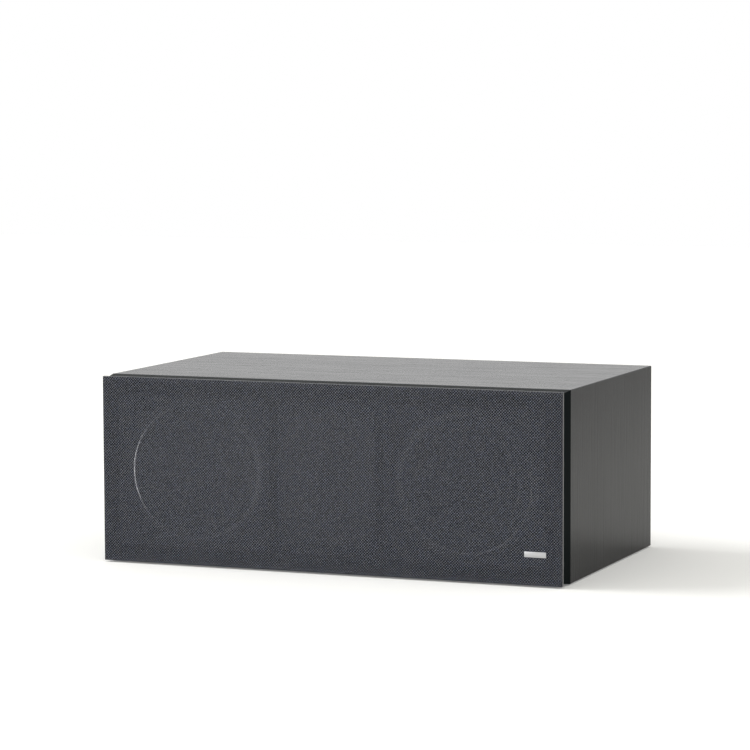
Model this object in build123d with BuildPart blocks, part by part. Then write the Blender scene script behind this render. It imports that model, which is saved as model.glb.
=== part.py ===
from build123d import *
import os
from math import atan, cos, degrees, pi

os.makedirs("parts", exist_ok=True)

# Centre channel loudspeaker, in millimetres.
# X runs along the cabinet, the front faces -Y, and Z is up from the shelf.

# Cabinet boards
cabinet_width = 530.0
cabinet_height = 204.0
sleeve_depth = 286.0
board_thickness = 15.0
edge_radius = 1.0
back_inset = 3.0
brace_thickness = 12.0
brace_offset = 70.0
brace_rail = 34.0
brace_window_radius = 14.0
foot_size = 18.0
foot_thickness = 1.2
foot_inset = 12.0

# Baffle, glued over the front of the sleeve, with edges that lean in
baffle_thickness = 21.0
baffle_lean = 3.0

# Grille: a frame of strips with cloth stretched over it
grille_inset = 0.5
grille_corner = 3.0
frame_thickness = 6.0
cloth_thickness = 0.8
rail_width = 19.0
bar_width = 10.0
bar_thickness = 4.0
bar_offset = 61.0
peg_radius = 4.0
peg_length = 12.0
peg_inset = 12.0
peg_clearance = 0.25
peg_end_gap = 1.0
socket_wall = 1.8
socket_floor = 2.0
socket_fit = 0.1

# Woofers, measured outward from the axis and back from the baffle's face
woofer_offset = 156.0
rebate_depth = 8.0
rebate_gap = 0.5
flange_radius = 81.0
flange_thickness = 3.2
trim_inner_radius = 72.5
trim_proud = 1.2
trim_edge_sink = 0.3
basket_seat_radius = 66.0
basket_wall = 3.5
basket_base_radius = 41.0
basket_floor = 2.4
basket_depth = 53.0
basket_hole_radius = 24.0
basket_leg_count = 6
basket_leg_width = 11.0
cutout_gap = 1.0
cone_radius = 57.0
cone_edge_depth = 6.4
cone_depth = 27.0
cone_thickness = 1.2
roll_crest_radius = 64.0
roll_proud = 0.3
lip_thickness = 0.8
cap_radius = 24.0
cap_thickness = 3.0
glue_gap = 0.15
coil_radius = 17.0
coil_thickness = 0.6
coil_end_depth = 62.0
spider_depth = 44.0
spider_thickness = 0.8
spider_gap = 0.3
magnet_radius = 45.0
magnet_bore_radius = 22.0
magnet_thickness = 16.0
plate_thickness = 5.0
magnetic_gap = 0.8
yoke_radius = 43.0

# Tweeter: a ten-sided faceplate whose flat facets lead down to the dome
faceplate_sides = 10
faceplate_radius = 74.0
faceplate_thickness = 5.0
faceplate_proud = 1.0
faceplate_gap = 0.5
waveguide_mouth_radius = 60.0
waveguide_throat_radius = 15.0
waveguide_depth = 11.0
throat_length = 2.0
horn_radius = 48.0
horn_cutout_gap = 2.0
dome_radius = 12.7
dome_rise = 5.7
dome_crown_run = 6.0
dome_crown_drop = 3.2
dome_flange_radius = 22.0
dome_flange_thickness = 0.6
tweeter_gap = 0.7
tweeter_magnet_radius = 36.0
tweeter_bore_radius = 16.0
tweeter_plate_thickness = 4.0
tweeter_magnet_thickness = 10.0
tweeter_yoke_radius = 35.0

# Bass ports through the back board
port_offset = 150.0
port_radius = 24.0
port_wall = 3.0
port_length = 110.0
port_flare = 7.0
port_flange = 9.0
port_flange_thickness = 2.5
port_fit = 0.3

# Terminal cup and its two binding posts
cup_width = 78.0
cup_height = 58.0
cup_depth = 24.0
cup_wall = 2.5
cup_corner = 6.0
cup_flange = 9.0
cup_fit = 0.5
post_spacing = 19.05
post_radius = 3.0
post_bore_radius = 2.0
post_bore_depth = 12.0
post_length = 17.0
post_tail = 6.0
post_fit = 0.2
post_head_radius = 6.5
post_head_thickness = 2.0
collar_radius = 6.5
collar_thickness = 2.0
collar_gap = 0.2
cap_nut_radius = 7.5
cap_nut_length = 12.0
thread_clearance = 0.3

# Crossover board on the bottom board
board_length = 90.0
board_width = 104.0
board_sheet = 1.6
board_setback = 70.0
standoff_radius = 4.0
standoff_height = 8.0
standoff_inset = 8.0
bass_coil_radius = 19.0
bass_coil_bore = 9.0
bass_coil_height = 16.0
treble_coil_radius = 13.0
treble_coil_bore = 6.0
treble_coil_height = 10.0
capacitor_radius = 8.0
capacitor_length = 34.0
capacitor_pitch = 20.0
resistor_length = 44.0
resistor_side = 9.0

# Polyester wadding against the end boards
wadding_thickness = 26.0
wadding_margin = 18.0

# Places that follow from the sizes
grille_thickness = frame_thickness + cloth_thickness
total_depth = sleeve_depth + baffle_thickness + grille_thickness
baffle_front = grille_thickness - total_depth / 2
sleeve_front = baffle_front + baffle_thickness
sleeve_back = sleeve_front + sleeve_depth
back_face = sleeve_back - back_inset
back_board_front = back_face - board_thickness
mid_height = foot_thickness + cabinet_height / 2
half_width = cabinet_width / 2
half_height = cabinet_height / 2
inner_half_width = half_width - board_thickness
inner_half_height = half_height - board_thickness
floor_inside = foot_thickness + board_thickness


def facing_front(depth, across=0.0):
    """Sketch plane that looks forward, at a depth along Y and centred at mid height."""
    return Plane(origin=(across, depth, mid_height), x_dir=(1, 0, 0), z_dir=(0, -1, 0))


def facing_back(depth, across=0.0):
    """Sketch plane that looks backward, at a depth along Y and centred at mid height."""
    return Plane(origin=(across, depth, mid_height), x_dir=(-1, 0, 0), z_dir=(0, 1, 0))


def turning_plane(across, depth):
    """Plane for a turned profile: radius along X, distance behind the given depth along Y."""
    return Plane(origin=(across, depth, mid_height), x_dir=(1, 0, 0), z_dir=(0, 0, 1))


def turning_axis(across):
    """Front-to-back axis at mid height."""
    return Axis((across, 0, mid_height), (0, 1, 0))


def save(piece, name):
    """Label a finished piece and write its file."""
    piece.part.label = name
    export_step(piece.part, f"parts/{name}.step")


# Sleeve: four boards folded round with mitred corners
board_corners = {
    "top_board": (
        (-half_width, half_height),
        (half_width, half_height),
        (inner_half_width, inner_half_height),
        (-inner_half_width, inner_half_height),
    ),
    "bottom_board": (
        (-half_width, -half_height),
        (half_width, -half_height),
        (inner_half_width, -inner_half_height),
        (-inner_half_width, -inner_half_height),
    ),
    "left_board": (
        (-half_width, -half_height),
        (-half_width, half_height),
        (-inner_half_width, inner_half_height),
        (-inner_half_width, -inner_half_height),
    ),
    "right_board": (
        (half_width, -half_height),
        (half_width, half_height),
        (inner_half_width, inner_half_height),
        (inner_half_width, -inner_half_height),
    ),
}
for board_name, corners in board_corners.items():
    with BuildPart() as board:
        with BuildSketch(facing_front(sleeve_front)):
            with BuildLine():
                Polyline(*corners, close=True)
            make_face()
            RectangleRounded(cabinet_width, cabinet_height, edge_radius, mode=Mode.INTERSECT)
        extrude(amount=-sleeve_depth)
    save(board, board_name)

# Back board, let in between the sleeve boards, cut for the ports and the terminal cup
port_hub_radius = port_radius + port_flare + port_wall
port_hole_radius = port_hub_radius + port_fit
with BuildPart() as back_board:
    with BuildSketch(facing_back(back_face)):
        Rectangle(2 * inner_half_width, 2 * inner_half_height)
        with Locations((-port_offset, 0), (port_offset, 0)):
            Circle(port_hole_radius, mode=Mode.SUBTRACT)
        Rectangle(cup_width + 2 * cup_fit, cup_height + 2 * cup_fit, mode=Mode.SUBTRACT)
    extrude(amount=-board_thickness)
save(back_board, "back_board")

# Braces: upright boards with a window, between the baffle and the back board
brace_depth = back_board_front - sleeve_front
brace_middle = (back_board_front + sleeve_front) / 2
for side, sign in (("left", -1), ("right", 1)):
    brace_plane = Plane(
        origin=(sign * brace_offset, brace_middle, mid_height), x_dir=(0, 1, 0), z_dir=(1, 0, 0)
    )
    with BuildPart() as brace:
        with BuildSketch(brace_plane):
            Rectangle(brace_depth, 2 * inner_half_height)
            RectangleRounded(
                brace_depth - 2 * brace_rail,
                2 * (inner_half_height - brace_rail),
                brace_window_radius,
                mode=Mode.SUBTRACT,
            )
        extrude(amount=brace_thickness / 2, both=True)
    save(brace, f"{side}_brace")

# Feet: four thin square pads stuck under the bottom board
foot_reach_x = cabinet_width - 2 * foot_inset - foot_size
foot_reach_y = sleeve_depth - 2 * foot_inset - foot_size
with BuildPart() as feet:
    with BuildSketch(Plane.XY):
        with Locations((0, (sleeve_front + sleeve_back) / 2)):
            with GridLocations(foot_reach_x, foot_reach_y, 2, 2):
                Rectangle(foot_size, foot_size)
    extrude(amount=foot_thickness)
save(feet, "foot_pads")

# Grille outline and the places of its four pegs
grille_width = cabinet_width - 2 * grille_inset
grille_height = cabinet_height - 2 * grille_inset
frame_width = grille_width - 2 * cloth_thickness
frame_height = grille_height - 2 * cloth_thickness
frame_corner = grille_corner - cloth_thickness
window_height = frame_height - 2 * rail_width
peg_reach_x = grille_width - 2 * peg_inset
peg_reach_z = grille_height - 2 * peg_inset
socket_bore_radius = peg_radius + peg_clearance
socket_radius = socket_bore_radius + socket_wall
socket_depth = peg_length + peg_end_gap + socket_floor

# Front baffle: one thick board with leaning edges, rebated for the three drivers
rebate_radius = flange_radius + rebate_gap
cutout_radius = basket_seat_radius + 2 * basket_wall + cutout_gap
faceplate_rebate = faceplate_thickness - faceplate_proud
with BuildPart() as front_baffle:
    with BuildSketch(facing_front(sleeve_front)):
        Rectangle(cabinet_width, cabinet_height)
    extrude(amount=baffle_thickness, taper=degrees(atan(baffle_lean / baffle_thickness)))
    with BuildSketch(facing_front(baffle_front)):
        with Locations((-woofer_offset, 0), (woofer_offset, 0)):
            Circle(rebate_radius)
    extrude(amount=-rebate_depth, mode=Mode.SUBTRACT)
    with BuildSketch(facing_front(baffle_front)):
        RegularPolygon(faceplate_radius + faceplate_gap, faceplate_sides, rotation=90)
    extrude(amount=-faceplate_rebate, mode=Mode.SUBTRACT)
    with BuildSketch(facing_front(baffle_front)):
        with Locations((-woofer_offset, 0), (woofer_offset, 0)):
            Circle(cutout_radius)
        Circle(horn_radius + horn_cutout_gap)
    extrude(amount=-baffle_thickness, mode=Mode.SUBTRACT)
    with BuildSketch(facing_front(baffle_front)):
        with GridLocations(peg_reach_x, peg_reach_z, 2, 2):
            Circle(socket_radius + socket_fit)
    extrude(amount=-socket_depth, mode=Mode.SUBTRACT)
save(front_baffle, "front_baffle")

# Sockets: four rubber cups let into the baffle, which grip the grille's pegs
with BuildPart() as sockets:
    with BuildSketch(facing_front(baffle_front)):
        with GridLocations(peg_reach_x, peg_reach_z, 2, 2):
            Circle(socket_radius)
    extrude(amount=-socket_depth)
    with BuildSketch(facing_front(baffle_front)):
        with GridLocations(peg_reach_x, peg_reach_z, 2, 2):
            Circle(socket_bore_radius)
    extrude(amount=socket_floor - socket_depth, mode=Mode.SUBTRACT)
save(sockets, "grille_sockets")

# Grille rails: the long strips of the frame, each with two pegs on its back
with BuildPart() as grille_rails:
    with BuildSketch(facing_front(baffle_front)):
        RectangleRounded(frame_width, frame_height, frame_corner)
        Rectangle(frame_width, window_height, mode=Mode.SUBTRACT)
    extrude(amount=frame_thickness)
    with BuildSketch(facing_front(baffle_front)):
        with GridLocations(peg_reach_x, peg_reach_z, 2, 2):
            Circle(peg_radius)
    extrude(amount=-peg_length)
save(grille_rails, "grille_rails")

# Grille stiles: the short strips that close the frame's ends
with BuildPart() as grille_stiles:
    with BuildSketch(facing_front(baffle_front)):
        with GridLocations(frame_width - rail_width, 0, 2, 1):
            Rectangle(rail_width, window_height)
    extrude(amount=frame_thickness)
save(grille_stiles, "grille_stiles")

# Grille bars: two thinner strips under the cloth, kept clear of the drivers
with BuildPart() as grille_bars:
    with BuildSketch(facing_front(baffle_front - frame_thickness)):
        with GridLocations(2 * bar_offset, 0, 2, 1):
            Rectangle(bar_width, window_height)
    extrude(amount=-bar_thickness)
save(grille_bars, "grille_bars")

# Grille cloth: stretched over the front of the frame and down its four edges
with BuildPart() as grille_cloth:
    with BuildSketch(facing_front(baffle_front)):
        RectangleRounded(grille_width, grille_height, grille_corner)
    extrude(amount=grille_thickness)
    with BuildSketch(facing_front(baffle_front)):
        RectangleRounded(frame_width, frame_height, frame_corner)
    extrude(amount=frame_thickness, mode=Mode.SUBTRACT)
save(grille_cloth, "grille_cloth")

# Depths and slopes that the woofer's pieces share
flange_front = rebate_depth - flange_thickness
basket_inside = basket_depth - basket_floor
basket_cup_radius = basket_base_radius + basket_wall
leg_root_radius = basket_base_radius + basket_wall / 2
leg_head_radius = basket_seat_radius + basket_wall / 2
spider_back = spider_depth + spider_thickness
cone_neck_radius = coil_radius + glue_gap
cone_slope = (cone_depth - cone_edge_depth) / (cone_radius - cone_neck_radius)
magnet_front = basket_depth + plate_thickness
magnet_back = magnet_front + magnet_thickness
pole_radius = coil_radius - coil_thickness - magnetic_gap


def cone_face(radius):
    """Depth of the cone's front surface at a radius."""
    return cone_edge_depth + (cone_radius - radius) * cone_slope


# Baskets: cast frames with a flange, six sloping legs and a cup that the motor sits under
basket_profile = turning_plane(woofer_offset, baffle_front)
leg_planes = [
    basket_profile.rotated((0, 360 / basket_leg_count * leg, 0)) for leg in range(basket_leg_count)
]
with BuildPart() as baskets:
    with BuildSketch(basket_profile):
        with BuildLine():
            Polyline(
                (basket_seat_radius, flange_front),
                (flange_radius, flange_front),
                (flange_radius, rebate_depth),
                (basket_seat_radius, rebate_depth),
                close=True,
            )
        make_face()
        with BuildLine():
            Polyline(
                (basket_cup_radius, spider_back),
                (basket_cup_radius, basket_depth),
                (basket_hole_radius, basket_depth),
                (basket_hole_radius, basket_inside),
                (basket_base_radius, basket_inside),
                (basket_base_radius, spider_back),
                close=True,
            )
        make_face()
    revolve(axis=turning_axis(woofer_offset))
    with BuildSketch(*leg_planes):
        with BuildLine():
            Polyline(
                (leg_head_radius, rebate_depth),
                (leg_head_radius + basket_wall, rebate_depth),
                (basket_cup_radius + basket_wall, spider_back),
                (basket_cup_radius + basket_wall, basket_depth),
                (leg_root_radius, basket_depth),
                (leg_root_radius, spider_back),
                (basket_cup_radius + spider_gap, spider_back),
                close=True,
            )
        make_face()
    extrude(amount=basket_leg_width / 2, both=True)
    mirror(about=Plane.YZ)
save(baskets, "woofer_baskets")

# Trim rings: round bezels pressed over the flanges, their faces falling away outward
with BuildPart() as trim_rings:
    with BuildSketch(turning_plane(woofer_offset, baffle_front)):
        with BuildLine():
            Polyline(
                (trim_inner_radius, flange_front),
                (flange_radius, flange_front),
                (flange_radius, trim_edge_sink),
                (trim_inner_radius, -trim_proud),
                close=True,
            )
        make_face()
    revolve(axis=turning_axis(woofer_offset))
    mirror(about=Plane.YZ)
save(trim_rings, "woofer_trim_rings")

# Motors: front plate, ring magnet, and a back plate with the pole turned on it
with BuildPart() as top_plates:
    with BuildSketch(facing_front(baffle_front + basket_depth, woofer_offset)):
        Circle(magnet_radius)
        Circle(coil_radius + magnetic_gap, mode=Mode.SUBTRACT)
    extrude(amount=-plate_thickness)
    mirror(about=Plane.YZ)
save(top_plates, "woofer_top_plates")

with BuildPart() as magnets:
    with BuildSketch(facing_front(baffle_front + magnet_front, woofer_offset)):
        Circle(magnet_radius)
        Circle(magnet_bore_radius, mode=Mode.SUBTRACT)
    extrude(amount=-magnet_thickness)
    mirror(about=Plane.YZ)
save(magnets, "woofer_magnets")

with BuildPart() as yokes:
    with BuildSketch(facing_front(baffle_front + magnet_back, woofer_offset)):
        Circle(yoke_radius)
    extrude(amount=-plate_thickness)
    with BuildSketch(facing_front(baffle_front + magnet_back, woofer_offset)):
        Circle(pole_radius)
    extrude(amount=magnet_back - basket_depth)
    mirror(about=Plane.YZ)
save(yokes, "woofer_yokes")

# Spiders: stiffened cloth discs that centre the coils, glued on the baskets' cups
with BuildPart() as spiders:
    with BuildSketch(facing_front(baffle_front + spider_depth, woofer_offset)):
        Circle(basket_cup_radius)
        Circle(coil_radius + spider_gap, mode=Mode.SUBTRACT)
    extrude(amount=-spider_thickness)
    mirror(about=Plane.YZ)
save(spiders, "woofer_spiders")

# Cone, dust cap, voice coil and rubber surround of each woofer
cap_rim_depth = cone_face(cap_radius) - glue_gap
roll_shoulder = flange_front - lip_thickness
for side, sign in (("left", -1), ("right", 1)):
    woofer_x = sign * woofer_offset
    profile = turning_plane(woofer_x, baffle_front)
    axis = turning_axis(woofer_x)

    with BuildPart() as cone:
        with BuildSketch(profile):
            with BuildLine():
                Polyline(
                    (cone_radius, cone_edge_depth),
                    (cone_radius, cone_edge_depth + cone_thickness),
                    (cone_neck_radius, cone_depth + cone_thickness),
                    (cone_neck_radius, cone_depth),
                    close=True,
                )
            make_face()
        revolve(axis=axis)
    save(cone, f"{side}_cone")

    with BuildPart() as dust_cap:
        with BuildSketch(facing_front(baffle_front + cap_rim_depth, woofer_x)):
            Circle(cap_radius)
        extrude(amount=cap_thickness)
    save(dust_cap, f"{side}_dust_cap")

    with BuildPart() as voice_coil:
        with BuildSketch(facing_front(baffle_front + cone_depth, woofer_x)):
            Circle(coil_radius)
            Circle(coil_radius - coil_thickness, mode=Mode.SUBTRACT)
        extrude(amount=cone_depth - coil_end_depth)
    save(voice_coil, f"{side}_voice_coil")

    with BuildPart() as surround:
        with BuildSketch(profile):
            with BuildLine():
                Polyline(
                    (trim_inner_radius - glue_gap, flange_front),
                    (cone_radius + glue_gap, flange_front),
                    (cone_radius + glue_gap, roll_shoulder),
                    (roll_crest_radius, -roll_proud),
                    (trim_inner_radius - glue_gap, flange_front - lip_thickness),
                    close=True,
                )
            make_face()
        revolve(axis=axis)
    save(surround, f"{side}_surround")

# Tweeter faceplate: a ten-sided plate whose flat facets lead down to a ten-sided throat
horn_back = waveguide_depth + throat_length - faceplate_proud
facet_run = (waveguide_mouth_radius - waveguide_throat_radius) * cos(pi / faceplate_sides)
with BuildPart() as faceplate:
    with BuildSketch(facing_front(baffle_front - faceplate_proud)):
        RegularPolygon(faceplate_radius, faceplate_sides, rotation=90)
    extrude(amount=-faceplate_thickness)
    with BuildSketch(facing_front(baffle_front + faceplate_rebate)):
        RegularPolygon(horn_radius, faceplate_sides, rotation=90)
    extrude(amount=faceplate_rebate - horn_back)
    with BuildSketch(facing_front(baffle_front - faceplate_proud)):
        RegularPolygon(waveguide_throat_radius, faceplate_sides, rotation=90)
    extrude(amount=-waveguide_depth - throat_length, mode=Mode.SUBTRACT)
    front_face = faceplate.faces().sort_by(Axis.Y)[0]
    chamfer(front_face.inner_wires()[0].edges(), facet_run, waveguide_depth, reference=front_face)
save(faceplate, "tweeter_faceplate")

# Tweeter dome: a low cap on a flat flange, pressed as one diaphragm, with flats like the faceplate's
dome_seat = horn_back + dome_flange_thickness
dome_sides = 2 * faceplate_sides
with BuildPart() as dome:
    with BuildSketch(facing_front(baffle_front + dome_seat)):
        RegularPolygon(dome_flange_radius, dome_sides, rotation=90)
    extrude(amount=dome_flange_thickness)
    with BuildSketch(facing_front(baffle_front + horn_back)):
        RegularPolygon(dome_radius, dome_sides, rotation=90)
    extrude(amount=dome_rise)
    dome_top = dome.faces().sort_by(Axis.Y)[0]
    chamfer(dome_top.edges(), dome_crown_run, dome_crown_drop, reference=dome_top)
save(dome, "tweeter_dome")

# Tweeter motor: front plate, ring magnet, and a back plate with the pole turned on it
tweeter_magnet_front = dome_seat + tweeter_plate_thickness
tweeter_magnet_back = tweeter_magnet_front + tweeter_magnet_thickness
with BuildPart() as tweeter_plate:
    with BuildSketch(facing_front(baffle_front + dome_seat)):
        Circle(tweeter_magnet_radius)
        Circle(dome_radius + tweeter_gap, mode=Mode.SUBTRACT)
    extrude(amount=-tweeter_plate_thickness)
save(tweeter_plate, "tweeter_top_plate")

with BuildPart() as tweeter_magnet:
    with BuildSketch(facing_front(baffle_front + tweeter_magnet_front)):
        Circle(tweeter_magnet_radius)
        Circle(tweeter_bore_radius, mode=Mode.SUBTRACT)
    extrude(amount=-tweeter_magnet_thickness)
save(tweeter_magnet, "tweeter_magnet")

with BuildPart() as tweeter_yoke:
    with BuildSketch(facing_front(baffle_front + tweeter_magnet_back)):
        Circle(tweeter_yoke_radius)
    extrude(amount=-tweeter_plate_thickness)
    with BuildSketch(facing_front(baffle_front + tweeter_magnet_back)):
        Circle(dome_radius - tweeter_gap)
    extrude(amount=tweeter_magnet_back - dome_seat)
save(tweeter_yoke, "tweeter_yoke")

# Bass ports: tubes with a flared mouth and a flange on the back board
port_tube_radius = port_radius + port_wall
port_flange_radius = port_hub_radius + port_flange
with BuildPart() as ports:
    with BuildSketch(turning_plane(port_offset, back_face)):
        with BuildLine():
            Polyline(
                (port_radius, -port_length),
                (port_tube_radius, -port_length),
                (port_tube_radius, -board_thickness),
                (port_hub_radius, -board_thickness),
                (port_hub_radius, 0),
                (port_flange_radius, 0),
                (port_flange_radius, port_flange_thickness),
                (port_radius + port_flare, port_flange_thickness),
                (port_radius, -2 * port_flare),
                close=True,
            )
        make_face()
    revolve(axis=turning_axis(port_offset))
    mirror(about=Plane.YZ)
save(ports, "bass_ports")

# Terminal cup: a moulded dish let into the back board, with a flange round it
cup_floor = back_face - cup_depth
post_hole_radius = post_radius + post_fit
with BuildPart() as terminal_cup:
    with BuildSketch(facing_back(back_face)):
        RectangleRounded(cup_width + 2 * cup_flange, cup_height + 2 * cup_flange, cup_corner)
    extrude(amount=cup_wall)
    with BuildSketch(facing_back(back_face)):
        Rectangle(cup_width, cup_height)
    extrude(amount=-cup_depth - cup_wall)
    with BuildSketch(facing_back(back_face + cup_wall)):
        Rectangle(cup_width - 2 * cup_wall, cup_height - 2 * cup_wall)
    extrude(amount=-cup_depth - cup_wall, mode=Mode.SUBTRACT)
    with BuildSketch(facing_back(cup_floor)):
        with Locations((-post_spacing / 2, 0), (post_spacing / 2, 0)):
            Circle(post_hole_radius)
    extrude(amount=-cup_wall, mode=Mode.SUBTRACT)
save(terminal_cup, "terminal_cup")

# Binding posts: a bored stud, a clamping collar on it and a six-sided cap nut
collar_back = post_head_thickness + collar_gap
cap_nut_back = collar_back + collar_thickness
thread_bore_radius = post_radius + thread_clearance
for colour, sign in (("red", -1), ("black", 1)):
    post_x = sign * post_spacing / 2

    with BuildPart() as stud:
        with BuildSketch(facing_back(cup_floor, post_x)):
            RegularPolygon(post_head_radius, 6)
        extrude(amount=post_head_thickness)
        with BuildSketch(facing_back(cup_floor - cup_wall - post_tail, post_x)):
            Circle(post_radius)
        extrude(amount=post_tail + cup_wall + post_length)
        with BuildSketch(facing_back(cup_floor + post_length, post_x)):
            Circle(post_bore_radius)
        extrude(amount=-post_bore_depth, mode=Mode.SUBTRACT)
    save(stud, f"{colour}_post_stud")

    with BuildPart() as collar:
        with BuildSketch(facing_back(cup_floor + collar_back, post_x)):
            RegularPolygon(collar_radius, 6)
            Circle(thread_bore_radius, mode=Mode.SUBTRACT)
        extrude(amount=collar_thickness)
    save(collar, f"{colour}_post_collar")

    with BuildPart() as cap_nut:
        with BuildSketch(facing_back(cup_floor + cap_nut_back, post_x)):
            RegularPolygon(cap_nut_radius, 6)
            Circle(thread_bore_radius, mode=Mode.SUBTRACT)
        extrude(amount=cap_nut_length)
    save(cap_nut, f"{colour}_post_cap")

# Crossover: a circuit board on hexagonal standoffs, with coils, capacitors and a resistor
board_floor = floor_inside + standoff_height
board_top = board_floor + board_sheet
with BuildPart() as standoffs:
    with BuildSketch(Plane.XY.offset(floor_inside)):
        with Locations((0, board_setback)):
            with GridLocations(board_width - 2 * standoff_inset, board_length - 2 * standoff_inset, 2, 2):
                RegularPolygon(standoff_radius, 6)
    extrude(amount=standoff_height)
save(standoffs, "crossover_standoffs")

with BuildPart() as crossover_board:
    with BuildSketch(Plane.XY.offset(board_floor)):
        with Locations((0, board_setback)):
            Rectangle(board_width, board_length)
    extrude(amount=board_sheet)
save(crossover_board, "crossover_board")

bass_coil_place = (bass_coil_radius - board_width / 2 + standoff_inset, board_setback + board_length / 5)
treble_coil_place = (board_width / 2 - standoff_inset - treble_coil_radius, board_setback + board_length / 5)
with BuildPart() as coils:
    with BuildSketch(Plane.XY.offset(board_top)):
        with Locations(bass_coil_place):
            Circle(bass_coil_radius)
            Circle(bass_coil_bore, mode=Mode.SUBTRACT)
    extrude(amount=bass_coil_height)
    with BuildSketch(Plane.XY.offset(board_top)):
        with Locations(treble_coil_place):
            Circle(treble_coil_radius)
            Circle(treble_coil_bore, mode=Mode.SUBTRACT)
    extrude(amount=treble_coil_height)
save(coils, "crossover_coils")

capacitor_plane = Plane(
    origin=(0, board_setback - board_length / 4, board_top + capacitor_radius), x_dir=(0, 1, 0), z_dir=(1, 0, 0)
)
with BuildPart() as capacitors:
    with BuildSketch(capacitor_plane):
        with Locations((-capacitor_pitch / 2, 0), (capacitor_pitch / 2, 0)):
            Circle(capacitor_radius)
    extrude(amount=-capacitor_length)
save(capacitors, "crossover_capacitors")

with BuildPart() as resistor:
    with BuildSketch(Plane.XY.offset(board_top)):
        with Locations((board_width / 4, board_setback - board_length / 4)):
            Rectangle(resistor_side, resistor_length)
    extrude(amount=resistor_side)
save(resistor, "crossover_resistor")

# Wadding: a soft slab against each end board, behind the woofers
wadding_front = baffle_front + magnet_back + plate_thickness + wadding_margin
wadding_back = back_board_front - wadding_margin
wadding_plane = Plane(
    origin=(inner_half_width, (wadding_front + wadding_back) / 2, mid_height), x_dir=(0, 1, 0), z_dir=(1, 0, 0)
)
with BuildPart() as wadding:
    with BuildSketch(wadding_plane):
        Rectangle(wadding_back - wadding_front, 2 * (inner_half_height - wadding_margin))
    extrude(amount=-wadding_thickness)
    mirror(about=Plane.YZ)
save(wadding, "damping_wadding")
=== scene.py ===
from math import cos, pi, radians, sin

import bmesh
import bpy
from mathutils import Matrix, Vector


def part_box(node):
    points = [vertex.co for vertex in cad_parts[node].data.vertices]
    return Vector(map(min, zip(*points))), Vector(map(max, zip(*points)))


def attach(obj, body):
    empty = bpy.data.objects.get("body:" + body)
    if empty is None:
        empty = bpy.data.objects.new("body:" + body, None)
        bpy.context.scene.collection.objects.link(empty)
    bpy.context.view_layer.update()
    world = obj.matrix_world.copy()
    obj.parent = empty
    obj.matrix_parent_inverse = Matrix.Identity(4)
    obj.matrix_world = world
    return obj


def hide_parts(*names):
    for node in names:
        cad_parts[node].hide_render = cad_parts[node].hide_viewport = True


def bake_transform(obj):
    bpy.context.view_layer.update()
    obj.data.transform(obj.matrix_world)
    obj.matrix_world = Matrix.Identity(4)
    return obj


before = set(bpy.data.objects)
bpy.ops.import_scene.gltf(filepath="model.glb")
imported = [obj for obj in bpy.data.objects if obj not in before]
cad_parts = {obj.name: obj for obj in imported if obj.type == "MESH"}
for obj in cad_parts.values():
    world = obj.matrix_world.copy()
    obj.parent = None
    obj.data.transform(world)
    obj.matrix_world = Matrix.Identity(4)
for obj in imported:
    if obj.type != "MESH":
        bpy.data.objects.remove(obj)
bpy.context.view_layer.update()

# Sleeve: four fibreboard panels mitred at the corners, wrapped in black ash vinyl
# and folded round the cabinet. The pressed grain follows the wrap, along the top and
# bottom panels and down the two ends.


class Tone:
    """A shader socket that takes arithmetic, so that a finish is written as a formula."""

    def __init__(self, tree, socket=None):
        self.tree = tree
        self.socket = socket

    def node(self, kind, settings, sockets, output=0):
        made = self.tree.nodes.new("ShaderNode" + kind)
        for name, value in settings.items():
            setattr(made, name, value)
        for name, value in sockets.items():
            if isinstance(value, Tone):
                self.tree.links.new(value.socket, made.inputs[name])
            else:
                made.inputs[name].default_value = value
        return Tone(self.tree, made.outputs[output])

    def arithmetic(self, operation, first, second):
        return self.node("Math", {"operation": operation}, {0: first, 1: second})

    def __add__(self, other):
        return self.arithmetic("ADD", self, other)

    def __radd__(self, other):
        return self.arithmetic("ADD", other, self)

    def __sub__(self, other):
        return self.arithmetic("SUBTRACT", self, other)

    def __rsub__(self, other):
        return self.arithmetic("SUBTRACT", other, self)

    def __mul__(self, other):
        return self.arithmetic("MULTIPLY", self, other)

    def __rmul__(self, other):
        return self.arithmetic("MULTIPLY", other, self)

    def __pow__(self, other):
        return self.arithmetic("POWER", self, other)

    def scaled(self, x, y, z):
        return self.node("VectorMath", {"operation": "MULTIPLY"}, {0: self, 1: (x, y, z)})

    def noise(self, scale, detail=3.0, roughness=0.55):
        inputs = {"Vector": self, "Scale": scale, "Detail": detail, "Roughness": roughness}
        return self.node("TexNoise", {}, inputs)

    def cells(self, scale):
        return self.node("TexVoronoi", {}, {"Vector": self, "Scale": scale}, "Distance")

    def waves(self, direction, scale, distortion=0.0):
        inputs = {"Vector": self, "Scale": scale, "Distortion": distortion}
        return self.node("TexWave", {"bands_direction": direction}, inputs)

    def coordinate(self, axis):
        return self.node("SeparateXYZ", {}, {0: self}, axis)

    def ray(self, kind):
        return self.node("LightPath", {}, {}, kind)

    def clipped(self, low, high):
        return self.node("MapRange", {}, {0: self, 1: low, 2: high})

    def dyed(self, *shades):
        dark, light = (shade if isinstance(shade, Tone) else (*shade, 1) for shade in shades)
        return self.node("Mix", {"data_type": "RGBA"}, {0: self, 6: dark, 7: light}, 2)

    def relief(self, height):
        return self.node("Bump", {}, {"Height": self, "Distance": height})


def new_finish(name, **fixed):
    """A material, with the values that are the same all over set on its shader."""
    material = bpy.data.materials.new(name)
    material.use_nodes = True
    shader = material.node_tree.nodes["Principled BSDF"]
    for socket, value in fixed.items():
        shader.inputs[socket.replace("_", " ")].default_value = value
    spot = Tone(material.node_tree).node("TexCoord", {}, {}, "Object")
    return material, shader, spot


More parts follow.
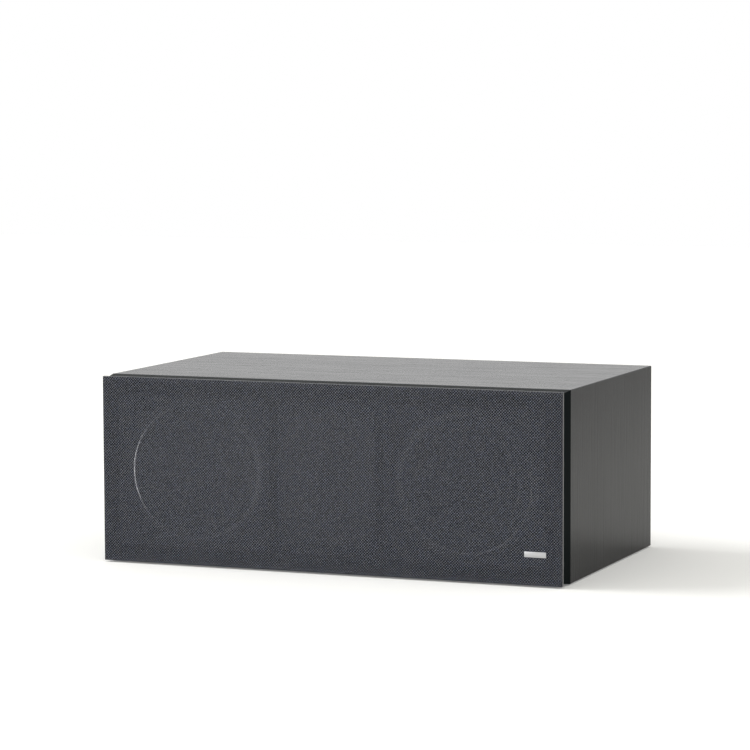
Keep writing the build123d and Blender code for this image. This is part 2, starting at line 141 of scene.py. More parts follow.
def lay_on(shader, **tones):
    """Links what varies over the surface to the shader."""
    for socket, tone in tones.items():
        tone.tree.links.new(tone.socket, shader.inputs[socket.replace("_", " ")])


def dress(material, *names):
    """Gives CAD nodes their finish."""
    for name in names:
        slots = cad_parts[name].data.materials
        slots.clear()
        slots.append(material)


for panels, along in (
    (("top_board", "bottom_board"), (5, 260, 260)),
    (("left_board", "right_board"), (110, 110, 3)),
):
    vinyl, shader, spot = new_finish("ash vinyl " + panels[0], Specular_IOR_Level=0.08)
    figure = spot.scaled(*along).noise(1.0, 4.0)
    pores = spot.scaled(*(3 * run for run in along)).noise(1.0, 2.0).clipped(0.36, 0.5)
    mottle = spot.noise(14.0, 2.0)
    lay_on(
        shader,
        Base_Color=(0.5 * figure + 0.5 * mottle).dyed((0.003, 0.003, 0.0035), (0.037, 0.0375, 0.040)),
        Roughness=0.17 + 0.14 * figure - 0.04 * pores,
        Normal=(pores + 0.4 * figure).relief(0.00003),
    )
    dress(vinyl, *panels)

# Back board: let in a little behind the sleeve's edges, glued, and sprayed with a
# black paint that leaves a fine pebbled skin.

sprayed, shader, spot = new_finish("back paint")
pebble = spot.cells(900.0)
lay_on(
    shader,
    Base_Color=(0.5 * pebble + 0.5 * spot.noise(30.0)).dyed((0.010, 0.010, 0.011), (0.040, 0.040, 0.041)),
    Roughness=0.55 + 0.2 * pebble,
    Normal=pebble.relief(0.00025),
)
dress(sprayed, "back_board")

# Front baffle: a thick board with leaning edges, glued over the sleeve, routed for the
# drivers and sprayed satin black. The spray leaves a slight orange peel.

satin, shader, spot = new_finish("baffle paint", Specular_IOR_Level=0.009)
peel = spot.noise(420.0, 2.0)
lay_on(
    shader,
    Base_Color=spot.noise(9.0).dyed((0.002, 0.004, 0.004), (0.005, 0.008, 0.009)),
    Roughness=0.18 + 0.10 * peel,
    Normal=peel.relief(0.00005),
)
dress(satin, "front_baffle")

# Braces: bare fibreboard windows glued inside the sleeve, with the fuzzy brown
# edges that routed board has.

fibre, shader, spot = new_finish("bare fibreboard")
fuzz = spot.noise(650.0, 5.0, 0.7)
lay_on(
    shader,
    Base_Color=(0.6 * fuzz + 0.4 * spot.noise(25.0)).dyed((0.17, 0.105, 0.055), (0.42, 0.29, 0.17)),
    Roughness=0.8 + 0.15 * fuzz,
    Normal=fuzz.relief(0.0002),
)
dress(fibre, "left_brace", "right_brace")

# Foot pads: thin squares of black closed-cell foam, punched from sheet and stuck under
# the corners of the bottom panel.

foam, shader, spot = new_finish("foot foam")
bubble = spot.cells(1400.0)
lay_on(
    shader,
    Base_Color=bubble.dyed((0.008, 0.008, 0.008), (0.035, 0.035, 0.036)),
    Roughness=0.8 + 0.2 * bubble,
    Normal=bubble.relief(0.0003),
)
dress(foam, "foot_pads")

# Grille sockets: cups moulded in soft black rubber and pressed into the baffle, where
# they grip the grille's pegs.

cup_rubber, shader, spot = new_finish("socket rubber")
bloom = spot.noise(300.0)
lay_on(
    shader,
    Base_Color=bloom.dyed((0.010, 0.010, 0.010), (0.030, 0.030, 0.031)),
    Roughness=0.6 + 0.2 * bloom,
    Normal=bloom.relief(0.0001),
)
dress(cup_rubber, "grille_sockets")

# Woofer baskets and motors: powder-coated castings with zinc-plated steel plates and
# dark fired ferrite rings glued between them.

casting, shader, spot = new_finish("basket casting")
powder = spot.noise(1100.0, 2.0)
lay_on(
    shader,
    Base_Color=powder.dyed((0.012, 0.012, 0.012), (0.038, 0.038, 0.039)),
    Roughness=0.5 + 0.2 * powder,
    Normal=powder.relief(0.0002),
)
dress(casting, "woofer_baskets")

plating, shader, spot = new_finish("plated steel", Metallic=1.0)
haze = spot.noise(60.0, 5.0)
turning = spot.scaled(1500, 20, 1500).noise(1.0, 1.0)
lay_on(
    shader,
    Base_Color=haze.dyed((0.46, 0.46, 0.44), (0.66, 0.66, 0.65)),
    Roughness=0.25 + 0.2 * haze,
    Normal=turning.relief(0.00002),
)
dress(plating, "woofer_top_plates", "woofer_yokes", "tweeter_top_plate", "tweeter_yoke")

ferrite, shader, spot = new_finish("fired ferrite")
grit = spot.noise(1600.0, 4.0)
lay_on(
    shader,
    Base_Color=(0.7 * grit + 0.3 * spot.noise(40.0)).dyed((0.030, 0.030, 0.032), (0.095, 0.095, 0.1)),
    Roughness=0.55 + 0.25 * grit,
    Normal=grit.relief(0.0001),
)
dress(ferrite, "woofer_magnets", "tweeter_magnet")

# Trim rings: dark anodised bezels pressed over the basket flanges. A fine bright chamfer
# is turned on the inner lip, and shows through the cloth as a thin arc.

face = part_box("front_baffle")[0].y


def turned(profile, middle, steps=72, closed=True):
    """Spins (radius, depth behind the baffle's face) points round a driver's axis."""
    bm = bmesh.new()
    rim = [bm.verts.new((middle.x, face + depth, middle.z + radius)) for radius, depth in profile]
    for first, second in zip(rim, rim[1:]):
        bm.edges.new((first, second))
    if closed:
        bm.edges.new((rim[-1], rim[0]))
    bmesh.ops.spin(
        bm, geom=bm.verts[:] + bm.edges[:], cent=(middle.x, 0, middle.z), axis=(0, 1, 0),
        angle=2 * pi, steps=steps, use_merge=True,
    )
    bmesh.ops.remove_doubles(bm, verts=bm.verts, dist=1e-6)
    bmesh.ops.recalc_face_normals(bm, faces=bm.faces)
    return bm


def ease(bm, width, segments=2, over=25):
    """Rounds every edge that turns by more than the given degrees."""
    inner = [edge for edge in bm.edges if len(edge.link_faces) == 2]
    sharp = [edge for edge in inner if edge.calc_face_angle() > radians(over)]
    bmesh.ops.bevel(
        bm, geom=sharp, offset=width, segments=segments, profile=0.5, affect="EDGES", material=-1,
        clamp_overlap=True,
    )


def keep(name, bm, material, body="cabinet", stands_for=(), smooth=35):
    """Turns a bmesh into a piece that rides on a body and takes the place of CAD nodes."""
    mesh = bpy.data.meshes.new(name)
    bm.to_mesh(mesh)
    bm.free()
    mesh.polygons.foreach_set("use_smooth", [True] * len(mesh.polygons))
    mesh.set_sharp_from_angle(angle=radians(smooth))
    mesh.materials.append(material)
    piece = bpy.data.objects.new(name, mesh)
    bpy.context.collection.objects.link(piece)
    if body:
        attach(piece, body)
    if stands_for:
        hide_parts(*stands_for)
    return piece


trim, shader, spot = new_finish("trim satin", Metallic=1.0)
brushed = spot.noise(700.0, 2.0)
lay_on(
    shader,
    Base_Color=brushed.dyed((0.07, 0.07, 0.073), (0.12, 0.12, 0.124)),
    Roughness=0.22 + 0.12 * brushed,
    Normal=brushed.relief(0.00003),
)
bright, shader, spot = new_finish("bright chamfer", Metallic=1.0)
cut = spot.noise(1800.0, 1.0)
lay_on(
    shader,
    Base_Color=cut.dyed((0.70, 0.70, 0.71), (0.86, 0.86, 0.87)),
    Roughness=0.16 + 0.1 * cut,
)
chamfer_edge = 0.0735
axes = {}
for side in ("left", "right"):
    low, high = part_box(side + "_cone")
    axes[side] = (low + high) / 2
    ring = turned(
        ((0.0725, 0.0046), (0.0725, -0.0006), (0.0739, -0.0012), (0.0770, -0.0010), (0.0802, 0.0),
         (0.0810, 0.0008), (0.0810, 0.0046)),
        axes[side],
    )
    for part in ring.faces:
        out = part.calc_center_median() - axes[side]
        if Vector((out.x, out.z)).length < chamfer_edge and part.normal.y < -0.3:
            part.material_index = 1
    ease(ring, 0.0002, 2, 15)
    ring = keep(side + "_trim_ring", ring, trim, stands_for=["woofer_trim_rings"])
    ring.data.materials.append(bright)

# Cones and dust caps: each cone is a thin polypropylene moulding, curved a little and
# drawn into a neck for the coil, with a round cap glued over the hole.

polypropylene, shader, spot = new_finish("cone plastic")
fleck = spot.noise(520.0, 4.0)
lay_on(
    shader,
    Base_Color=(0.5 * fleck + 0.5 * spot.noise(35.0)).dyed((0.012, 0.012, 0.013), (0.05, 0.05, 0.053)),
    Roughness=0.40 + 0.2 * fleck,
    Normal=fleck.relief(0.00015),
)


def thicken(piece, thickness):
    """Gives a shell its wall behind the modelled face, and smooths it."""
    wall = piece.modifiers.new("wall", "SOLIDIFY")
    wall.thickness = thickness
    wall.offset = -1
    round_off = piece.modifiers.new("round", "SUBSURF")
    round_off.levels = 1
    round_off.render_levels = 1


def face_front(bm):
    """Turns an open shell's faces to the listener, so that its wall goes behind them."""
    if sum(part.normal.y * part.calc_area() for part in bm.faces) > 0:
        bmesh.ops.reverse_faces(bm, faces=bm.faces)


for side, middle in axes.items():
    shell = turned(
        ((0.0570, 0.0064), (0.0562, 0.0068), (0.0480, 0.0118), (0.0380, 0.0172), (0.0280, 0.0220),
         (0.0200, 0.0256), (0.0176, 0.0268), (0.0172, 0.0276)),
        middle, closed=False,
    )
    face_front(shell)
    cone = keep(
        side + "_cone_shell", shell, polypropylene, side + "_diaphragm", [side + "_cone"]
    )
    thicken(cone, 0.0012)
    cap = turned(
        ((0.0, 0.0178), (0.0060, 0.0181), (0.0120, 0.0191), (0.0180, 0.0208), (0.0222, 0.0226),
         (0.0234, 0.0232), (0.0244, 0.0235)),
        middle, closed=False,
    )
    face_front(cap)
    cap = keep(
        side + "_cap_shell", cap, polypropylene, side + "_diaphragm", [side + "_dust_cap"]
    )
    thicken(cap, 0.0006)

# Surrounds: half rolls of soft butyl rubber, glued to the basket flange outside and to
# the cone's rim inside.

butyl, shader, spot = new_finish("surround rubber", Sheen_Weight=0.15)
dust = spot.noise(260.0, 4.0)
lay_on(
    shader,
    Base_Color=dust.dyed((0.010, 0.010, 0.010), (0.034, 0.034, 0.035)),
    Roughness=0.26 + 0.14 * dust,
    Normal=dust.relief(0.00006),
)


def ring_weights(piece):
    """Bakes the piece's placement into its mesh."""
    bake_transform(piece)


for side, middle in axes.items():
    roll = turned(
        ((0.0722, 0.0040), (0.0712, 0.0039), (0.0702, 0.0033), (0.0690, 0.0016), (0.0667, 0.0002),
         (0.0640, -0.0003), (0.0613, 0.0002), (0.0592, 0.0018), (0.0581, 0.0040), (0.0574, 0.0054),
         (0.0562, 0.0062)),
        middle, closed=False,
    )
    face_front(roll)
    surround = keep(side + "_roll", roll, butyl, None, [side + "_surround"])
    ring_weights(surround)
    thicken(surround, 0.0006)

# Spiders and coils: the spider is a pressed, resin-stiffened cloth disc with rings of
# corrugation, which centres a coil of enamelled copper wire in its gap.

resin, shader, spot = new_finish("spider cloth")
weft = spot.waves("X", 480.0, 0.4)
warp = spot.waves("Z", 480.0, 0.4)
lay_on(
    shader,
    Base_Color=(0.5 * weft + 0.5 * warp).dyed((0.34, 0.22, 0.09), (0.60, 0.45, 0.24)),
    Roughness=0.7 + 0.2 * weft,
    Normal=(weft + warp).relief(0.00012),
)
half_wave, wave_height = 0.0011, 0.0007
for side, middle in axes.items():
    crests = [
        (0.0394 - half_wave * step, 0.0440 + wave_height * (step % 2)) for step in range(19)
    ]
    disc = turned([(0.0405, 0.0444)] + crests + [(0.0174, 0.0444)], middle, closed=False)
    face_front(disc)
    spider = keep(side + "_spider", disc, resin, None, ["woofer_spiders"])
    ring_weights(spider)
    thicken(spider, 0.0004)

copper, shader, spot = new_finish("enamelled copper", Metallic=1.0)
turns = spot.waves("Y", 620.0, 0.3)
lay_on(
    shader,
    Base_Color=(0.7 * turns + 0.3 * spot.noise(90.0)).dyed((0.30, 0.10, 0.035), (0.75, 0.33, 0.14)),
    Roughness=0.28 + 0.2 * turns,
    Normal=turns.relief(0.00015),
)
dress(copper, "left_voice_coil", "right_voice_coil")

# Tweeter faceplate: a ten-sided plastic moulding with flat facets that lead down to the
# dome, held by five screws. Its edges are eased and its skin is finely sparked.

moulding, shader, spot = new_finish("faceplate plastic")
spark = spot.noise(1300.0, 3.0)
lay_on(
    shader,
    Base_Color=spark.dyed((0.014, 0.014, 0.015), (0.040, 0.040, 0.042)),
    Roughness=0.38 + 0.16 * spark,
    Normal=spark.relief(0.00008),
)
tweeter = Vector((0.0, 0.0, axes["left"].z))
horn = turned(
    ((0.0740, 0.0040), (0.0740, -0.0010), (0.0600, -0.0010), (0.0150, 0.0100), (0.0150, 0.0120),
     (0.0480, 0.0120), (0.0480, 0.0040)),
    tweeter, steps=10,
)
ease(horn, 0.0005)
keep("tweeter_horn", horn, moulding, stands_for=["tweeter_faceplate"], smooth=12)

blackened, shader, spot = new_finish("blackened screw", Metallic=1.0)
oil = spot.noise(900.0)
lay_on(
    shader,
    Base_Color=oil.dyed((0.03, 0.03, 0.032), (0.11, 0.11, 0.115)),
    Roughness=0.3 + 0.15 * oil,
    Normal=oil.relief(0.00004),
)


def screw_heads(places, toward):
    """Pan heads with a round driver recess, which face the front (-1) or the back (1)."""
    height, foot_radius, top_radius, wall = 0.0012, 0.0029, 0.0026, 0.0013
    upright = Matrix.Rotation(-toward * pi / 2, 3, "X")
    heads = bmesh.new()
    for place in places:
        head = bmesh.new()
        bmesh.ops.create_cone(
            head, cap_ends=True, segments=18, radius1=foot_radius, radius2=top_radius, depth=height
        )
        top = max(head.faces, key=lambda part: part.calc_center_median().z)
        bmesh.ops.inset_region(head, faces=[top], thickness=wall)
        bmesh.ops.translate(head, verts=top.verts, vec=(0, 0, -0.5 * height))
        ease(head, 0.0002)
        bmesh.ops.rotate(head, verts=head.verts, cent=(0, 0, 0), matrix=upright)
        bmesh.ops.translate(head, verts=head.verts, vec=place)
        carrier = bpy.data.meshes.new("head")
        head.to_mesh(carrier)
        head.free()
        heads.from_mesh(carrier)
        bpy.data.meshes.remove(carrier)
    return heads


screw_circle = 0.0668
bearings = [2 * pi * step / 5 + pi / 2 for step in range(5)]
places = [
    (screw_circle * cos(bearing), face - 0.0011, tweeter.z + screw_circle * sin(bearing))
    for bearing in bearings
]
keep("faceplate_screws", screw_heads(places, -1), blackened)

# Tweeter dome: a cap of coated silk, pressed in one piece with its narrow roll and the
# flange that is glued behind the faceplate.

silk, shader, spot = new_finish("dome silk", Sheen_Weight=0.25)
mesh_x = spot.waves("X", 900.0)
mesh_z = spot.waves("Z", 900.0)
lay_on(
    shader,
    Base_Color=(0.5 * mesh_x + 0.5 * mesh_z).dyed((0.010, 0.010, 0.011), (0.035, 0.035, 0.037)),
    Roughness=0.5 + 0.15 * mesh_x,
    Normal=(mesh_x + mesh_z).relief(0.00004),
)
cap = turned(
    ((0.0, 0.0063), (0.0035, 0.0067), (0.0068, 0.0078), (0.0098, 0.0096), (0.0118, 0.0116),
     (0.0124, 0.0121), (0.0130, 0.0117), (0.0139, 0.0113), (0.0148, 0.0118), (0.0160, 0.0121),
     (0.0220, 0.0121)),
    tweeter, closed=False,
)
face_front(cap)
dome = keep("tweeter_cap", cap, silk, stands_for=["tweeter_dome"])
thicken(dome, 0.0004)

# Bass ports: flared polystyrene tubes pushed through the back board, each with a
# smooth trumpet mouth and a flat flange.

styrene, shader, spot = new_finish("port plastic")
skin = spot.noise(1000.0, 2.0)
lay_on(
    shader,
    Base_Color=(0.5 * skin + 0.5 * spot.noise(20.0)).dyed((0.012, 0.012, 0.012), (0.032, 0.032, 0.033)),
    Roughness=0.40 + 0.14 * skin,
    Normal=skin.relief(0.00008),
)
low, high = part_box("bass_ports")
mouth = high.y - face
back = mouth - 0.0025
port_offset = 0.15
for side, across in (("left", -port_offset), ("right", port_offset)):
    tube = turned(
        ((0.0240, back - 0.1100), (0.0270, back - 0.1100), (0.0270, back - 0.0150),
         (0.0340, back - 0.0150), (0.0340, back), (0.0430, back), (0.0430, mouth), (0.0335, mouth),
         (0.0310, mouth - 0.0008), (0.0285, mouth - 0.0030), (0.0264, mouth - 0.0065),
         (0.0249, mouth - 0.0115), (0.0241, mouth - 0.0180)),
        Vector((across, 0, tweeter.z)),
    )
    ease(tube, 0.0008, 3, 50)
    keep(side + "_port", tube, styrene, stands_for=["bass_ports"])

# Terminal cup: a dish moulded in black plastic, with raised polarity marks on its floor.
# It is let into the back board and held by a screw in each corner of its flange.

dish_plastic, shader, spot = new_finish("cup plastic")
grain = spot.noise(1200.0, 3.0)
lay_on(
    shader,
    Base_Color=grain.dyed((0.012, 0.012, 0.012), (0.036, 0.036, 0.037)),
    Roughness=0.42 + 0.18 * grain,
    Normal=grain.relief(0.0001),
)
low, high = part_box("terminal_cup")
middle = (low + high) / 2
half_width = (high.x - low.x) / 2
half_height = (high.z - low.z) / 2
wall = 0.0025
flange_back = high.y - wall
cup_floor = low.y + wall
dish = bmesh.new()
outlines = []
for inset, corner_radius, depth in (
    (0.0090, 0.0015, low.y), (0.0090, 0.0015, flange_back - 0.0010),
    (0.0080, 0.0020, flange_back), (0.0, 0.0060, flange_back),
    (0.0, 0.0060, high.y - 0.0008), (0.0003, 0.0057, high.y - 0.0002), (0.0009, 0.0051, high.y),
    (0.0104, 0.0024, high.y), (0.0110, 0.0018, high.y - 0.0002), (0.0113, 0.0015, high.y - 0.0009),
    (0.0122, 0.0012, cup_floor + 0.0012), (0.0126, 0.0010, cup_floor + 0.0003),
    (0.0136, 0.0008, cup_floor),
):
    place = Matrix.Translation((middle.x, depth, middle.z)) @ Matrix.Rotation(-pi / 2, 4, "X")
    place = place @ Matrix.Diagonal((2 * (half_width - inset), 2 * (half_height - inset), 1, 1))
    ready = set(dish.faces)
    square = bmesh.ops.create_grid(dish, x_segments=1, y_segments=1, size=0.5, matrix=place)["verts"]
    bmesh.ops.bevel(
        dish, geom=square, offset=corner_radius, segments=6, profile=0.5, affect="VERTICES",
        material=-1,
    )
    outlines.append((set(dish.faces) - ready).pop())
for first, second in zip(outlines, outlines[1:]):
    bmesh.ops.bridge_loops(dish, edges=first.edges[:] + second.edges[:])
bmesh.ops.delete(dish, geom=outlines[1:-1], context="FACES_ONLY")
bmesh.ops.recalc_face_normals(dish, faces=dish.faces)
stroke, stroke_width, post_offset = 0.005, 0.0011, 0.0095
for across, long, tall in (
    (-post_offset, stroke, stroke_width),
    (-post_offset, stroke_width, stroke),
    (post_offset, stroke, stroke_width),
):
    place = Matrix.Translation((across, cup_floor + 0.0002, middle.z + 0.0135))
    bmesh.ops.create_cube(dish, size=1.0, matrix=place @ Matrix.Diagonal((long, 0.0008, tall, 1)))
keep("terminal_dish", dish, dish_plastic, stands_for=["terminal_cup"])
screw_x, screw_z = half_width - 0.0055, half_height - 0.0055
corners = [
    (middle.x + right * screw_x, high.y - 0.0004, middle.z + up * screw_z)
    for right in (-1, 1) for up in (-1, 1)
]
keep("cup_screws", screw_heads(corners, 1), blackened)

# Binding posts: gold-plated brass studs with a clamping collar, and moulded caps with
# ribs for the fingers, red for plus and black for minus.

gold, shader, spot = new_finish("gold plate", Metallic=1.0)
rub = spot.noise(500.0)
threads = spot.waves("Y", 160.0)
lay_on(
    shader,
    Base_Color=rub.dyed((0.62, 0.42, 0.16), (0.86, 0.64, 0.30)),
    Roughness=0.18 + 0.18 * rub,
    Normal=threads.relief(0.0002),
)
dress(gold, "red_post_stud", "black_post_stud", "red_post_collar", "black_post_collar")
rib_radius, rib_depth = 0.0069, 0.0006
for colour, dark, light in (
    ("red", (0.33, 0.010, 0.012), (0.52, 0.022, 0.020)),
    ("black", (0.010, 0.010, 0.010), (0.032, 0.032, 0.033)),
):
    nylon, shader, spot = new_finish(colour + " cap nylon", Coat_Weight=0.15)
    swirl = spot.noise(700.0)
    lay_on(
        shader,
        Base_Color=swirl.dyed(dark, light),
        Roughness=0.32 + 0.15 * swirl,
        Normal=swirl.relief(0.00004),
    )
    low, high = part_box(colour + "_post_cap")
    middle = (low + high) / 2
    base, tip = low.y - face, high.y - face
    knob = turned(
        ((0.0034, base), (0.0062, base), (0.0062, base + 0.0012), (0.0072, base + 0.0020),
         (0.0072, tip - 0.0006), (0.0066, tip), (0.0034, tip)),
        middle, steps=48,
    )
    for vertex in knob.verts:
        out = Vector((vertex.co.x - middle.x, 0, vertex.co.z - middle.z))
        if out.length > rib_radius and round(24 * out.angle(Vector((0, 0, 1))) / pi) % 4 < 2:
            vertex.co -= rib_depth * out.normalized()
    keep(colour + "_knob", knob, nylon, colour + "_nut", [colour + "_post_cap"], 20)

# Crossover: a green fibreglass board on brass standoffs, with wound coils, film
# capacitors and a cement resistor, all hidden behind the drivers.

resist, shader, spot = new_finish("circuit board")
tracks = spot.cells(160.0).clipped(0.20, 0.24)
lay_on(
    shader,
    Base_Color=tracks.dyed((0.012, 0.10, 0.035), (0.03, 0.20, 0.07)),
    Roughness=0.25 + 0.2 * tracks,
    Normal=tracks.relief(0.00005),
)
dress(resist, "crossover_board")
brass, shader, spot = new_finish("standoff brass", Metallic=1.0)
tarnish = spot.noise(300.0)
lay_on(
    shader,
    Base_Color=tarnish.dyed((0.45, 0.30, 0.10), (0.78, 0.58, 0.26)),
    Roughness=0.25 + 0.2 * tarnish,
)
dress(brass, "crossover_standoffs")
winding, shader, spot = new_finish("wound copper", Metallic=1.0)
layers = spot.waves("Z", 330.0, 0.6)
lay_on(
    shader,
    Base_Color=layers.dyed((0.26, 0.08, 0.03), (0.78, 0.36, 0.16)),
    Roughness=0.25 + 0.2 * layers,
    Normal=layers.relief(0.0003),
)
dress(winding, "crossover_coils")
film, shader, spot = new_finish("capacitor film", Coat_Weight=0.4)
wrap = spot.scaled(30, 500, 500).noise(1.0)
lay_on(
    shader,
    Base_Color=wrap.dyed((0.42, 0.27, 0.05), (0.62, 0.44, 0.10)),
    Roughness=0.3 + 0.15 * wrap,
)
dress(film, "crossover_capacitors")
cement, shader, spot = new_finish("resistor cement")
sand = spot.noise(1500.0, 4.0)
lay_on(
    shader,
    Base_Color=sand.dyed((0.52, 0.50, 0.45), (0.80, 0.78, 0.72)),
    Roughness=0.75 + 0.2 * sand,
    Normal=sand.relief(0.0002),
)
dress(cement, "crossover_resistor")

# Wadding: slabs of white polyester fleece, cut from the roll and laid against the end
# panels. Their edges are round and soft.

fleece, shader, spot = new_finish("wadding fleece", Sheen_Weight=0.4)
strands = spot.noise(180.0, 6.0, 0.75)
lay_on(
    shader,
    Base_Color=strands.dyed((0.62, 0.61, 0.58), (0.88, 0.87, 0.84)),
    Roughness=0.85 + 0.1 * strands,
    Normal=strands.relief(0.002),
)
low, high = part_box("damping_wadding")
middle = (low + high) / 2
loft = 0.026
for side, inner, outer in (("left", low.x + loft, low.x), ("right", high.x - loft, high.x)):
    slab = bmesh.new()
    place = Matrix.Translation(((inner + outer) / 2, middle.y, middle.z))
    place = place @ Matrix.Diagonal((loft, high.y - low.y, high.z - low.z, 1))
    bmesh.ops.create_cube(slab, size=1.0, matrix=place)
    ease(slab, 0.009, 3)
    bmesh.ops.subdivide_edges(slab, edges=slab.edges[:], cuts=6, use_grid_fill=True)
    bmesh.ops.smooth_vert(
        slab, verts=slab.verts, factor=0.5, use_axis_x=True, use_axis_y=True, use_axis_z=True
    )
    pad = keep(
        side + "_wadding", slab, fleece, stands_for=["damping_wadding"], smooth=80
    )

# Grille frame: rails, stiles and two bars between the drivers, moulded in black
# polystyrene, with four pegs on the rails that push into the sockets.

frame_black, shader, spot = new_finish("frame plastic", Specular_IOR_Level=0.05)
ripple = spot.noise(500.0, 2.0)
lay_on(
    shader,
    Base_Color=ripple.dyed((0.010, 0.010, 0.011), (0.026, 0.026, 0.028)),
    Roughness=0.42 + 0.15 * ripple,
    Normal=ripple.relief(0.0001),
)
dress(frame_black, "grille_rails", "grille_stiles", "grille_bars")

# Grille cloth: one piece of charcoal polyester weave stretched over the frame and
# folded round its edges. It is open enough to show the drivers faintly, and dips a
# little between the rails.

weave, shader, spot = new_finish(
    "grille weave", Sheen_Weight=0.7, Sheen_Roughness=0.2, Specular_IOR_Level=0.2
)
thread_spacing = 0.0031
pitch = 2 * pi / thread_spacing
across, inward, upward = (spot.coordinate(axis) for axis in "XYZ")
wander = 2.5 * spot.noise(150.0, 2.0)
warp_phase = (across + upward + 2 * inward) * pitch + wander
weft_phase = (across - upward + inward) * pitch + wander
rising, falling = (
    spot.node("Math", {"operation": "SINE"}, {0: phase}) for phase in (warp_phase, weft_phase)
)
lattice = 0.5 + 0.25 * (rising + falling)
slub = spot.noise(800.0, 1.0, 0.5).clipped(0.30, 0.70)
thread = 0.75 * lattice + 0.25 * slub
batch = spot.noise(330.0, 1.0).clipped(0.4, 0.6)
yarn = batch.dyed((0.284, 0.310, 0.407), (0.320, 0.332, 0.385))
lay_on(
    shader,
    Base_Color=(thread ** 2.8).dyed((0.007, 0.008, 0.010), yarn),
    Roughness=0.7 + 0.2 * slub,
    Alpha=0.50 + 0.24 * lattice,
    Normal=thread.relief(0.00005),
)
low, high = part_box("grille_cloth")
middle = (low + high) / 2
width = high.x - low.x
height = high.z - low.z
depth = 0.0064
dip = 0.0005
sheet = bmesh.new()
place = Matrix.Translation((middle.x, high.y - depth, middle.z)) @ Matrix.Rotation(pi / 2, 4, "X")
place = place @ Matrix.Diagonal((width, height, 1, 1))
bmesh.ops.create_grid(sheet, x_segments=132, y_segments=50, size=0.5, matrix=place)
window_x, window_z, bar, half_bar = 0.2447, 0.0817, 0.061, 0.006
for vertex in sheet.verts:
    sideways = abs(vertex.co.x - middle.x)
    aside = min(window_x - sideways, abs(sideways - bar) - half_bar) / 0.03
    above = (window_z - abs(vertex.co.z - middle.z)) / 0.012
    run = min(max(aside, 0.0), 1.0) * min(max(above, 0.0), 1.0)
    vertex.co.y += dip * run * run * (3 - 2 * run)
hem = [edge for edge in sheet.edges if edge.is_boundary]
turned_back = bmesh.ops.extrude_edge_only(sheet, edges=hem)["geom"]
hem_edge = [part for part in turned_back if isinstance(part, bmesh.types.BMVert)]
bmesh.ops.translate(sheet, verts=hem_edge, vec=(0, depth, 0))
bmesh.ops.bevel(
    sheet, geom=hem, offset=0.0016, segments=4, profile=0.5, affect="EDGES", material=-1,
    clamp_overlap=True,
)
bmesh.ops.recalc_face_normals(sheet, faces=sheet.faces)
face_front(sheet)
cloth = keep("grille_weave_sheet", sheet, weave, "grille", ["grille_cloth"], 60)
fold = cloth.modifiers.new("cloth", "SOLIDIFY")
fold.thickness = 0.0004
fold.offset = -1

# Blank plate: a small plain bar of satin aluminium, cut from brushed strip and pinned
# through the cloth near the lower right corner.

aluminium, shader, spot = new_finish("satin aluminium", Metallic=1.0)
lines = spot.scaled(40, 2600, 2600).noise(1.0, 2.0)
lay_on(
    shader,
    Base_Color=lines.dyed((0.46, 0.46, 0.47), (0.66, 0.66, 0.67)),
    Roughness=0.26 + 0.14 * lines,
    Normal=lines.relief(0.00002),
)
bar_plate = bmesh.new()
plate_size = (0.024, 0.0009, 0.006)
place = Matrix.Translation((0.2355, low.y + plate_size[1] / 2, 0.0345))
bmesh.ops.create_cube(bar_plate, size=1.0, matrix=place @ Matrix.Diagonal((*plate_size, 1)))
ease(bar_plate, 0.0003, 3)
keep("blank_plate", bar_plate, aluminium, "grille")

# Studio: a pale floor under a white surround, with one soft lamp high on the left that
# lays the cabinet's shadow to the right. In reflections the floor's colour is painted
# darker to the right, a painted shade for light falling off away from that lamp, and a
# low strip lamp shows, which draws the bright arc on the left trim ring.

paper, shader, spot = new_finish("studio paper", Roughness=0.9, Emission_Strength=0.17)
pale = spot.noise(6.0).dyed((0.90, 0.90, 0.89), (0.92, 0.92, 0.91))
# Painted shade: seen only in reflections, the floor's colour darkens to grey from 0.5 m to 1.05 m right
# of the cabinet, standing in for light falling off.
painted_falloff_mask = spot.coordinate("X").clipped(0.5, 1.05)
mirrored = spot.ray("Is Glossy Ray")
lay_on(
    shader,
    Base_Color=(painted_falloff_mask * mirrored).dyed(pale, (0.48, 0.48, 0.48)),
    Emission_Color=spot.ray("Is Camera Ray").dyed((0, 0, 0), (1, 1, 1)),
)
ground = bmesh.new()
bmesh.ops.create_grid(ground, x_segments=1, y_segments=1, size=6.0)
mesh = bpy.data.meshes.new("studio_floor")
ground.to_mesh(mesh)
ground.free()
mesh.materials.append(paper)
floor = bpy.data.objects.new("studio_floor", mesh)
bpy.context.collection.objects.link(floor)

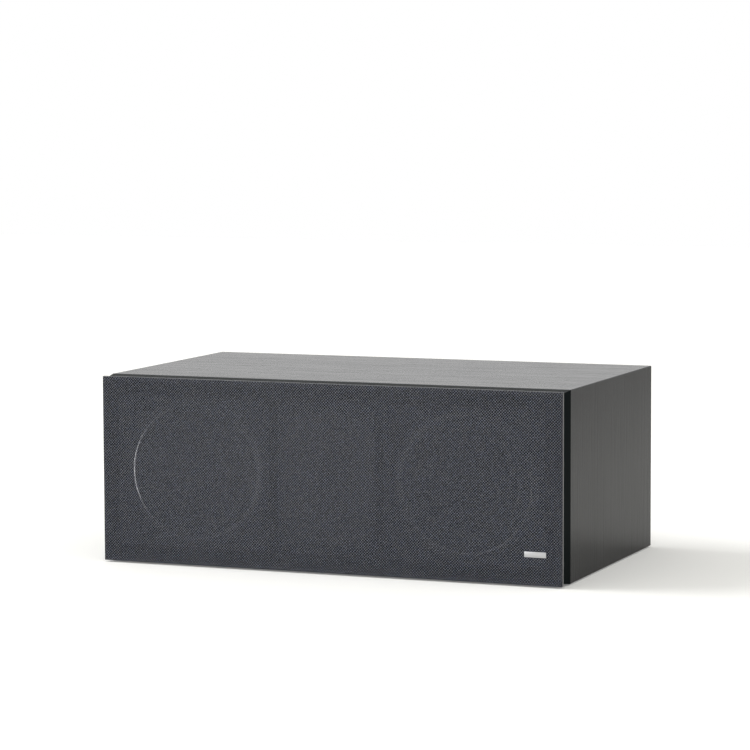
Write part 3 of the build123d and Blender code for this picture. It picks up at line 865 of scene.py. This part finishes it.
world = bpy.data.worlds.new("studio")
bpy.context.scene.world = world
world.use_nodes = True
surround = Tone(world.node_tree)
seen, shine, through = (
    surround.ray("Is " + kind + " Ray") for kind in ("Camera", "Glossy", "Transmission")
)
white = (seen + shine + through).clipped(0.0, 1.0)
sky = world.node_tree.nodes["Background"]
behind = surround.node("TexCoord", {}, {}, "Generated").coordinate("Y")
glow = (0.5 - 0.5 * behind).dyed((0.46, 0.453, 0.425), (1.06, 1.052, 1.005))
world.node_tree.links.new(white.dyed(glow, (1, 1, 1)).socket, sky.inputs["Color"])

lamp = bpy.data.lights.new("key", "SUN")
lamp.energy = 1.7
lamp.angle = radians(30)
key = bpy.data.objects.new("key", lamp)
bpy.context.collection.objects.link(key)
key.matrix_world = Vector((-0.75, -0.12, 0.60)).to_track_quat("Z", "Y").to_matrix().to_4x4()

strip = bpy.data.lights.new("strip", "AREA")
strip.shape = "RECTANGLE"
strip.size, strip.size_y = 0.10, 0.335
strip.energy = 2.2
glint = bpy.data.objects.new("strip", strip)
bpy.context.collection.objects.link(glint)
foot, head = Vector((-0.156, -0.362, 0.026)), Vector((-0.03, -0.62, 0.2))
lip = Vector((axes["left"].x - 0.073, face, axes["left"].z))
centre = (foot + head) / 2
lengthwise = (head - foot).normalized()
crosswise = lengthwise.cross(centre - lip).normalized()
turn = Matrix((crosswise, lengthwise, crosswise.cross(lengthwise))).transposed()
glint.matrix_world = Matrix.Translation(centre) @ turn.to_4x4()
glint.visible_camera = False
glint.visible_diffuse = False

# Camera: a long lens, a little above the cabinet and round to its right.

yaw, pitch_down, roll = radians(21.953), radians(5.512), radians(-0.219)
ahead = Vector((-sin(yaw) * cos(pitch_down), cos(yaw) * cos(pitch_down), -sin(pitch_down)))
right = Vector((cos(yaw), sin(yaw), 0))
up = right.cross(ahead)
right, up = cos(roll) * right + sin(roll) * up, cos(roll) * up - sin(roll) * right
lens = bpy.data.cameras.new("camera")
lens.sensor_width = 36
lens.lens = 150.66
lens.clip_end = 50
camera = bpy.data.objects.new("camera", lens)
bpy.context.collection.objects.link(camera)
turn = Matrix((right, up, -ahead)).transposed()
camera.matrix_world = Matrix.Translation((1.2882, -3.2113, 0.5342)) @ turn.to_4x4()
bpy.context.scene.camera = camera
bpy.context.scene.view_settings.view_transform = "Standard"
